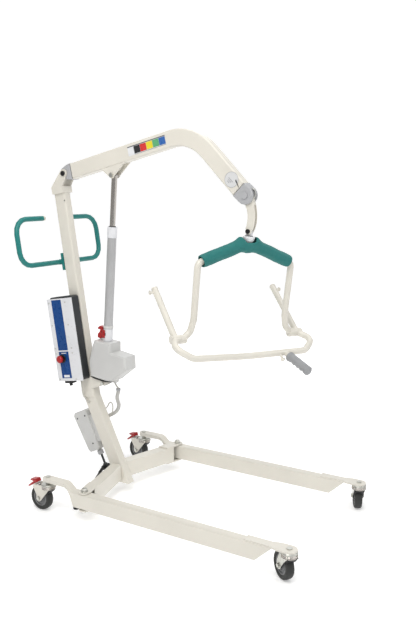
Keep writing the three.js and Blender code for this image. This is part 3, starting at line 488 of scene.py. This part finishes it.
def cables():
    """The three cables, the ribbed sleeve on the motor's, and a grommet where each goes into the column."""
    sleeve_path = [WORLD @ p for p in smooth_route(MOTOR_ROUTE[4:18], 8)]
    ribs = lambda share, angle: 0.0074 + 0.0006 * math.cos(share * 2 * math.pi * 34)
    sleeve = piece("ribbed_cable_sleeve", Matrix(), *swept(sleeve_path, ribs, 20), "base",
                   "sleeve_grey", "mid_grey_plastic")
    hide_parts("cable_sleeve")
    collar = piece("cable_collar", frame_at(sleeve_path[2], sleeve_path[0] - sleeve_path[6], X),
                   *turned([(0.004, -0.004), (0.0094, -0.004), (0.0094, 0.004), (0.004, 0.004)], 24), "base",
                   "mid_grey_plastic", "mid_grey_plastic")
    cable("motor_cable", MOTOR_ROUTE, 0.007)
    cable("drive_cable", DRIVE_ROUTE, 0.005)
    cable("box_cable", BOX_ROUTE, 0.006)
    for name, route, side, r, look in (("motor", MOTOR_ROUTE, 1, 0.0095, "black_plastic"),
                                       ("drive", DRIVE_ROUTE, 1, 0.0075, "black_plastic"),
                                       ("box", BOX_ROUTE, -1, 0.0060, "cable_sheath")):
        end = WORLD @ Vector(route[-1])
        end.y = HUB.y + side * COLUMN_SIDE
        dome = [(0.0005, r), (r * 0.64, r * 0.94), (r * 0.9, r * 0.63), (r, 0.0), (0.0005, 0.0)]
        piece(f"{name}_grommet", frame_at(end, Y * side, X), *turned(dome, 20), "base", look, "black_plastic")


# ---------------------------------------------------------------- casters
AXLE_BACK, AXLE_HIGH, FORK_SIDE = -0.036, 0.050, 0.0203


def caster_details(name):
    """Tyre and stepped hub in place of the plain wheel, a black block in the fork crown's front opening as painted
    shade for its shadowed inside, and the fork's race, cup, edges and nuts.
    """
    fork, wheel, body = FORK[name], WHEEL[name], f"caster_{name}"
    tread = [(0.0335, -0.0125), (0.037, -0.0148), (0.043, -0.0150), (0.0468, -0.0138), (0.0492, -0.0105),
             (0.0500, -0.0050)]
    ring = tread + [(r, -z) for r, z in reversed(tread)]
    tyre = piece(f"tyre_{name}", wheel, *turned(ring, 56), f"wheel_{name}", "tyre", "tyre")
    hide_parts(f"wheel_{name}")
    steps = [(0.0060, -0.0125), (0.0100, -0.0125), (0.0112, -0.0090), (0.0165, -0.0082), (0.0175, -0.0108),
             (0.0212, -0.0108), (0.0222, -0.0080), (0.0280, -0.0080), (0.0292, -0.0120), (0.0333, -0.0122)]
    hub = steps + [(r, -z) for r, z in reversed(steps)]
    piece(f"hub_{name}", wheel, *turned(hub, 48), f"wheel_{name}", "hub_grey", "tyre")
    # a black block across the front opening under the fork crown: painted shade standing for the shadowed inside
    # of the crown
    crown_shade = [(0.0, 0.0930), (0.0225, 0.0930), (0.0225, 0.0900), (0.0120, 0.0780), (0.0085, 0.0765),
             (0.0030, 0.0850)]
    piece(f"guard_{name}", fork, *side_prism(crown_shade, -0.0168, 0.0168), body, "black_plastic", "black_plastic",
          bevel=0.0008)
    race = [(0.0255, 0.1063), (0.0268, 0.1063), (0.0284, 0.1078), (0.0284, 0.1090), (0.0272, 0.1100),
            (0.0284, 0.1110), (0.0284, 0.1122), (0.0268, 0.1136), (0.0255, 0.1136)]
    piece(f"race_{name}", fork, *turned(race, 48), body, "zinc", "zinc")
    cup = [(0.0235, 0.0935), (0.0262, 0.0935), (0.0284, 0.0952), (0.0284, 0.0970), (0.0266, 0.0983),
           (0.0284, 0.0997), (0.0284, 0.1020), (0.0266, 0.1036), (0.0266, 0.1063), (0.0235, 0.1063)]
    piece(f"cup_{name}", fork, *turned(cup, 36, 220), body, "chrome", "zinc")
    nuts, lips = [], []
    for side in (-1, 1):
        at = Matrix.Translation((AXLE_BACK, side * FORK_SIDE, AXLE_HIGH))
        at = at @ Matrix.Rotation(-side * math.pi / 2, 4, "X")
        nuts += [moved(turned([(0.0005, 0), (0.0092, 0), (0.0092, 0.0012), (0.0005, 0.0012)], 24), at),
                 moved(hexagon(0.0075, 0.0012, 0.0052), at)]
        edge = smooth_route([(x, side * 0.0185, z) for x, z in (
            (0.0225, 0.0950), (0.0070, 0.0815), (-0.0085, 0.0640), (-0.0200, 0.0480))])
        lips.append(swept(edge, 0.0022, 10))
    piece(f"axle_nuts_{name}", fork, *merged(*nuts), body, "zinc", "zinc")
    if name.startswith("front"):
        piece(f"fork_lips_{name}", fork, *merged(*lips), body, "black_plastic", "black_plastic")


# ---------------------------------------------------------------- control box
PANEL = dict(back=-0.109, front=0.029, low=0.066, high=0.416, near=-0.072)
FACING_NEAR = Matrix.Rotation(math.pi / 2, 4, "X")        # turns +Z to face the near side
PRINT = 0.0003


def panel_point(share_across, share_down):
    return (PANEL["back"] + (PANEL["front"] - PANEL["back"]) * share_across,
            PANEL["high"] - (PANEL["high"] - PANEL["low"]) * share_down)


def panel_patch(name, start, end, look, lift=1):
    """Printed patch on the panel between two corners, given as shares of its width and height."""
    (x0, z1), (x1, z0) = panel_point(*start), panel_point(*end)
    near = PANEL["near"] - PRINT * lift
    shape = side_prism(rectangle(x0, x1, z0, z1), near, near + PRINT * 0.9)
    piece(name, MAST, *shape, "base", look, "white_plastic")


def screw_head(place, radius=0.0033):
    dome = [(0.0003, 0.0016), (radius * 0.6, 0.0015), (radius, 0.0008), (radius, 0.0), (0.0003, 0.0)]
    return moved(turned(dome, 16), place)


def control_details():
    panel_patch("panel_stripe_upper", (0.19, 0.014), (0.58, 0.625), "panel_blue")
    panel_patch("panel_line", (0.19, 0.625), (0.58, 0.640), "print_white")
    panel_patch("panel_stripe_lower", (0.19, 0.640), (0.58, 0.965), "panel_blue")
    panel_patch("panel_label", (0.27, 0.925), (0.50, 0.955), "print_white", 2)
    panel_patch("panel_mark", (0.29, 0.655), (0.49, 0.665), "print_white", 2)
    heads = []
    for across in (0.08, 0.74):
        for down in (0.05, 0.32, 0.60, 0.66, 0.985):
            x, z = panel_point(across, min(down, 0.978))
            heads.append(screw_head(Matrix.Translation((x, PANEL["near"], z)) @ FACING_NEAR))
    piece("panel_screws", MAST, *merged(*heads), "base", "zinc", "zinc")
    button = MAST.inverted() @ (sum(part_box("stop_button"), Vector()) / 2)
    # black ring around the stop button: partly a real collar, partly painted shade standing for the dark shadow
    # ring around the button
    collar = [(0.0082, 0.0), (0.0185, 0.0), (0.0185, 0.0025), (0.0170, 0.0040), (0.0082, 0.0040)]
    at = Matrix.Translation((button.x, PANEL["near"], button.z)) @ FACING_NEAR
    piece("stop_button_collar_and_shadow_ring", MAST @ at, *turned(collar, 40), "base", "black_plastic", "black_plastic")


# ---------------------------------------------------------------- boom
BOOM_NEAR = -0.020


def boom_print(name, start, end, low, high, look, lift=1):
    near = BOOM_NEAR - PRINT * lift
    shape = side_prism(rectangle(start, end, low, high), near, near + PRINT * 0.9)
    piece(name, BOOM_BACK, *shape, "boom", look, "cream_paint")


def boom_details():
    """Size-colour strip with plain blocks, a plain round sticker, and the keeper loop at the hanger."""
    start, end = -0.292, -0.112
    boom_print("strip_backing", start, end, -0.0165, 0.0200, "print_white")
    boom_print("strip_bar", start, end, 0.0160, 0.0195, "print_grey", 2)
    boom_print("strip_line", start + 0.03, end, -0.0160, -0.0148, "print_grey", 2)
    colours = ("white", "black", "red", "yellow", "green", "blue")
    block = (end - start) / len(colours)
    for k, colour in enumerate(colours):
        boom_print(f"strip_block_{colour}", start + block * k, start + block * (k + 1) - 0.0008,
                   -0.0128, 0.0150, f"print_{colour}", 2)
    centre = Matrix.Translation((0.245, BOOM_NEAR, 0.0036)) @ FACING_NEAR
    rim = [(0.0267, 0.0), (0.0282, 0.0), (0.0282, PRINT * 2), (0.0267, PRINT * 2)]
    piece("round_sticker", BOOM_FRONT @ centre, *prism(round_outline(0.0280, 40), 0.0, PRINT), "boom",
          "sticker_pale", "cream_paint")
    piece("sticker_rim", BOOM_FRONT @ centre, *turned(rim, 48), "boom", "mid_grey_plastic", "cream_paint")
    marks = [prism(rectangle(-0.014 + k * 0.002, 0.010 - k * 0.004, y, y + 0.003), PRINT, PRINT * 2)
             for k, y in enumerate((-0.004, -0.010, -0.016))]
    piece("sticker_marks", BOOM_FRONT @ centre, *merged(*marks), "boom", "mid_grey_plastic", "cream_paint")
    wedge = [(0.012, 0.0145), (0.0135, 0.008), (0.0400, 0.001), (0.0395, 0.0035)]
    piece("sticker_wedge", BOOM_FRONT @ centre, *prism(wedge, PRINT, PRINT * 2), "boom", "print_black",
          "cream_paint")
    hang = spot("hanger_swing") - HUB
    loop = [(0.022, 0.022), (0.030, 0.025), (0.0365, 0.020), (0.039, 0.010), (0.038, -0.003),
            (0.030, -0.012)]
    wire = smooth_route([hang + Vector((x, -0.013, z)) for x, z in loop])
    piece("keeper_loop", WORLD, *swept(wire, 0.0013, 10), "boom", "zinc", "zinc")


# ---------------------------------------------------------------- actuator and spreader drive
def drive_details():
    # a thin black strip on the near side of the motor housing's underside: painted shade for the dark shadow line
    # along its bottom edge, not a foot
    foot = [(-0.056, 0.0215), (0.022, 0.0172), (0.056, 0.0208), (0.054, 0.0180), (0.022, 0.0130),
            (-0.030, 0.0150), (-0.052, 0.0185)]
    piece("motor_shadow_strip", JACK, *side_prism(foot, -0.034, -0.0265), "actuator_body", "black_plastic",
          "black_plastic")
    ring = [(0.0187, 0.2345), (0.0205, 0.2350), (0.0208, 0.2440), (0.0187, 0.2470)]
    piece("tube_collar", JACK, *turned(ring, 40), "actuator_body", "pale_grey_plastic", "pale_grey_plastic")
    foot_ring = [(0.0192, 0.1806), (0.0199, 0.1806), (0.0199, 0.2325), (0.0192, 0.2325)]
    piece("tube_foot_ring", JACK, *turned(foot_ring, 40), "actuator_body", "white_plastic", "white_plastic")
    mark = side_prism(rectangle(-0.002, 0.003, 0.205, 0.216), -0.0205, -0.0195)
    piece("collar_mark", JACK, *mark, "actuator_body", "print_black", "pale_grey_plastic")
    lip = [(0.0122, 0.6500), (0.0150, 0.6500), (0.0150, 0.6545), (0.0122, 0.6545)]
    piece("rod_seal", JACK, *turned(lip, 32), "actuator_body", "dark_grey_plastic", "white_plastic")
    heads = [screw_head(Matrix.Translation((x, -0.025, z)) @ FACING_NEAR, 0.0036)
             for x, z in ((-0.106, 0.318), (-0.060, 0.318), (-0.072, 0.196))]
    piece("spreader_screws", COLUMN, *merged(*heads), "base", "dark_grey_plastic", "zinc")
    nose = [(0.0058, 0.140), (0.0120, 0.140), (0.0128, 0.146), (0.0128, 0.158), (0.0058, 0.158)]
    nose_at = COLUMN @ Matrix.Translation((-0.072, 0, 0))
    piece("spreader_nose", nose_at, *turned(nose, 32), "base", "mid_grey_plastic", "pale_grey_plastic")
    hole = WORLD @ Matrix.Translation((-0.3248, -0.0200, 1.2103)) @ FACING_NEAR
    piece("mast_plug", hole, *turned([(0.0003, 0.0008), (0.0028, 0.0008), (0.0034, 0.0), (0.0003, 0.0)], 20),
          "base", "dark_grey_plastic", "black_plastic")


# ---------------------------------------------------------------- sleeve and grip
PAD = dict(half=0.188, crown=-0.0498, shoulder=0.026, radius=0.0246, mouth=0.0245, lip=0.5)
ARM_BEND, EASE = Vector((0.201, -0.114)), 0.012      # where each arm of the yoke turns down
PAD_STEPS, PAD_SIDES, CLOTH = 94, 36, 0.0035


def pad_route():
    """Centre line of the padded sleeve in the cradle frame: two straight arms that meet in a short flat."""
    drop = (PAD["crown"] - ARM_BEND.y) / (ARM_BEND.x - PAD["shoulder"])
    fall = lambda u: PAD["crown"] - max(0.0, abs(u) - PAD["shoulder"]) * drop
    at = [PAD["half"] * (2 * k / PAD_STEPS - 1) for k in range(PAD_STEPS + 1)]
    # each corner is eased over a short stretch
    return [Vector((0, u, (fall(u - EASE) + fall(u) + fall(u + EASE)) / 3)) for u in at]


def yoke_sleeve():
    """Woven wrap over foam, creased along its seam, open over the swivel block and at both ends."""
    route, sides = pad_route(), PAD_SIDES
    verts, faces = [], []
    for k, p in enumerate(route):
        share = abs(p.y) / PAD["half"]
        before, after = route[max(k - 1, 0)], route[min(k + 1, len(route) - 1)]
        tangent = (after - before).normalized()
        other = tangent.cross(X).normalized()
        for j in range(sides):
            a = 2 * math.pi * j / sides
            out = X * math.cos(a) + other * math.sin(a)
            soft = fractal.noise(Vector((p.y * 26, math.cos(a) * 1.6, math.sin(a) * 1.6)))
            pleat = fractal.noise(Vector((p.y * 95, math.cos(a) * 0.8, 7 + math.sin(a) * 0.8)))
            end = 0.0016 * max(0.0, (share - 0.90) / 0.10) ** 2
            seam = 0.0012 * math.exp(-((math.sin(a) + 0.55) / 0.10) ** 2) if math.cos(a) > 0 else 0.0
            height = math.sin(a) if other.z > 0 else -math.sin(a)
            # the cloth stands up beside the swivel block and is fuller under it
            peak = 0.009 * math.exp(-((abs(p.y) - 0.029) / 0.011) ** 2) * max(0.0, height) ** 2
            belly = 0.006 * math.exp(-((p.y / 0.024) ** 2)) * max(0.0, -height)
            radius = PAD["radius"] + 0.0012 * soft + 0.0007 * pleat + seam - end - 0.0008 + peak + belly
            verts.append(tuple(p + out * radius))
    upward = (route[1] - route[0]).cross(X).z
    for k in range(len(route) - 1):
        middle = (route[k].y + route[k + 1].y) / 2
        for j in range(sides):
            a = 2 * math.pi * (j + 0.5) / sides
            height = math.sin(a) if upward > 0 else -math.sin(a)
            if abs(middle) < PAD["mouth"] and height > PAD["lip"] + 0.7 * (abs(middle) / PAD["mouth"]) ** 6:
                continue
            q, r = k * sides + j, k * sides + (j + 1) % sides
            faces.append((q, r, r + sides, q + sides))
    sleeve = piece("teal_sleeve", CRADLE, verts, faces, "yoke", "teal_sleeve", "teal_sleeve")
    sleeve.modifiers.remove(sleeve.modifiers["split"])
    cloth = sleeve.modifiers.new("thickness", "SOLIDIFY")
    cloth.thickness, cloth.offset = CLOTH, -1
    smoother = sleeve.modifiers.new("smoother", "SUBSURF")
    smoother.levels = smoother.render_levels = 1
    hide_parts("yoke_pad")
    gasket = [(0.004, -0.0170), (0.015, -0.0170), (0.015, -0.0156), (0.004, -0.0156)]
    piece("swivel_gasket", CRADLE, *turned(gasket, 36), "swivel_block", "gasket_grey", "white_plastic")


GRIP_ROOT, GRIP_AIM = Vector((0.084, 0.156, -0.437)), Vector((0.94, 0.05, -0.2)).normalized()
GRIP_START, GRIP_END, GRIP_STEPS, GRIP_WAVES, GRIP_RIBS = 0.030, 0.145, 92, 4, 30


def finger_grip():
    """Ribbed rubber handle with finger waves along its underside."""
    points = [GRIP_ROOT + GRIP_AIM * (GRIP_START + (GRIP_END - GRIP_START) * k / GRIP_STEPS)
              for k in range(GRIP_STEPS + 1)]

    def radius(share, angle):
        wave = 0.5 - 0.5 * math.cos(2 * math.pi * GRIP_WAVES * min(1.0, max(0.0, (share - 0.14) / 0.74)))
        under = max(0.0, -math.cos(angle)) ** 0.8
        ribs = 0.0004 * math.cos(2 * math.pi * GRIP_RIBS * share)
        flange = sum(h * math.exp(-((share - at) / 0.037) ** 2) for h, at in ((0.0016, 0.04), (0.0005, 0.95)))
        tip = 0.006 * max(0.0, (share - 0.97) / 0.03) ** 2
        return 0.0156 + flange + ribs + 0.0042 * (0.45 - wave) * under - tip

    grip = piece("ribbed_grip", CRADLE, *swept(points, radius, 32), "cradle", "grip_rubber", "grip_rubber")
    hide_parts("cradle_grip")


# ---------------------------------------------------------------- the scene
build_camera()
cables()
build_studio()
dress_nodes()
for caster in CASTERS:
    caster_details(caster)
control_details()
boom_details()
drive_details()
yoke_sleeve()
finger_grip()
